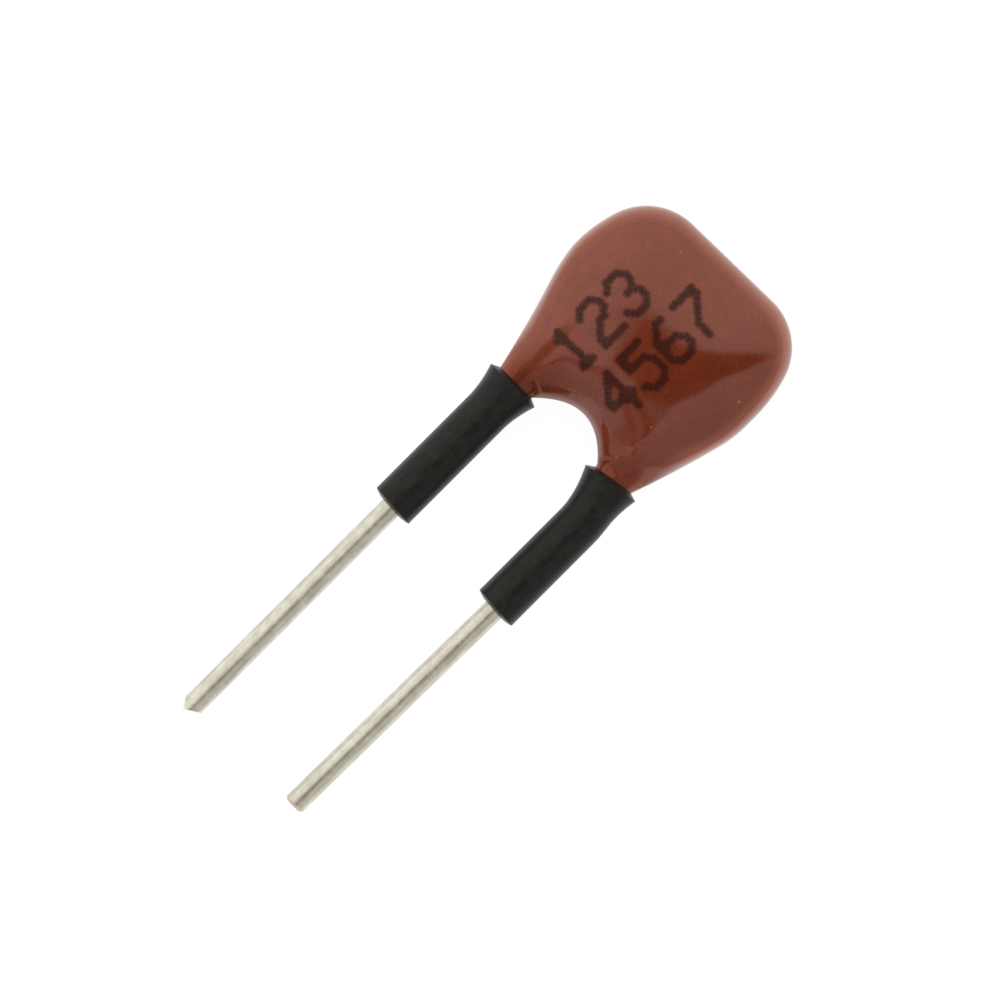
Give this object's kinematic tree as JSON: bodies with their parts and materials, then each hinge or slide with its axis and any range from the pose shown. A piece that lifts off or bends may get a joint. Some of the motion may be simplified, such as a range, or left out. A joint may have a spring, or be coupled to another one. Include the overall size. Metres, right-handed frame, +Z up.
{
  "type": "plug-in resistor",
  "caption": "Radial plug-in film resistor: glossy red-brown dipped body, stiff tinned leads and short black insulating sleeves over the coated legs.",
  "frame": {"origin": "middle of the part's outline seen from above, on the surface that it lies on", "axes": "+Y along the leads towards the body, +X across the width of the body, +Z up, away from the flat back of the body"},
  "size_m": [0.0088, 0.0246, 0.0029],
  "materials": {
    "coating": "glossy dipped epoxy, red-brown, faintly mottled",
    "ceramic": "fired white alumina, satin",
    "pad": "fired silver conductor, satin",
    "film": "fired black resistive paste, matt",
    "overglaze": "fired green glass, glossy",
    "solder": "soft solder, satin",
    "lead": "hot-tinned copper wire, satin, slightly mottled",
    "sleeve": "black extruded tubing, semi-matt"
  },
  "bodies": {
    "root": {"coating": "coating", "ceramic_plate": "ceramic", "pad_left": "pad", "pad_right": "pad", "resistive_film": "film", "overglaze": "overglaze", "solder_left": "solder", "solder_right": "solder", "lead_left": "lead", "lead_right": "lead", "sleeve_left": "sleeve", "sleeve_right": "sleeve"}
  },
  "joints": []
}
